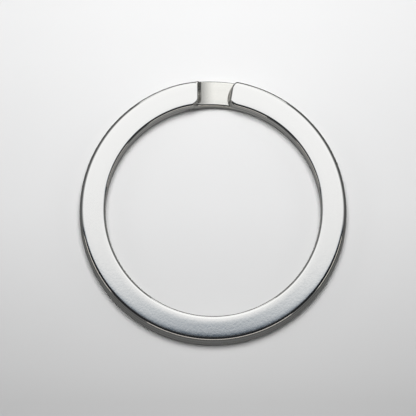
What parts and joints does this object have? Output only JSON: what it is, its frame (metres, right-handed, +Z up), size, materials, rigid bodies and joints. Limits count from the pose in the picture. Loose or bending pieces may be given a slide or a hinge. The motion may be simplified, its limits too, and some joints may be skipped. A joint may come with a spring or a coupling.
{
  "type": "key ring",
  "caption": "Flat split key ring of plated steel wire wound edge to edge, with a joggle between its turns and a window where keys thread on.",
  "frame": {"origin": "centre of the ring, on the plane that it rests on", "axes": "+Z up along the ring's axis, +Y towards the window in the upper turn, +X to the right seen from above"},
  "size_m": [0.032, 0.032, 0.0029],
  "materials": {
    "nickel_plate": "polished nickel plate with a faint satin grain"
  },
  "bodies": {
    "root": {"split_ring": "nickel_plate"}
  },
  "joints": []
}
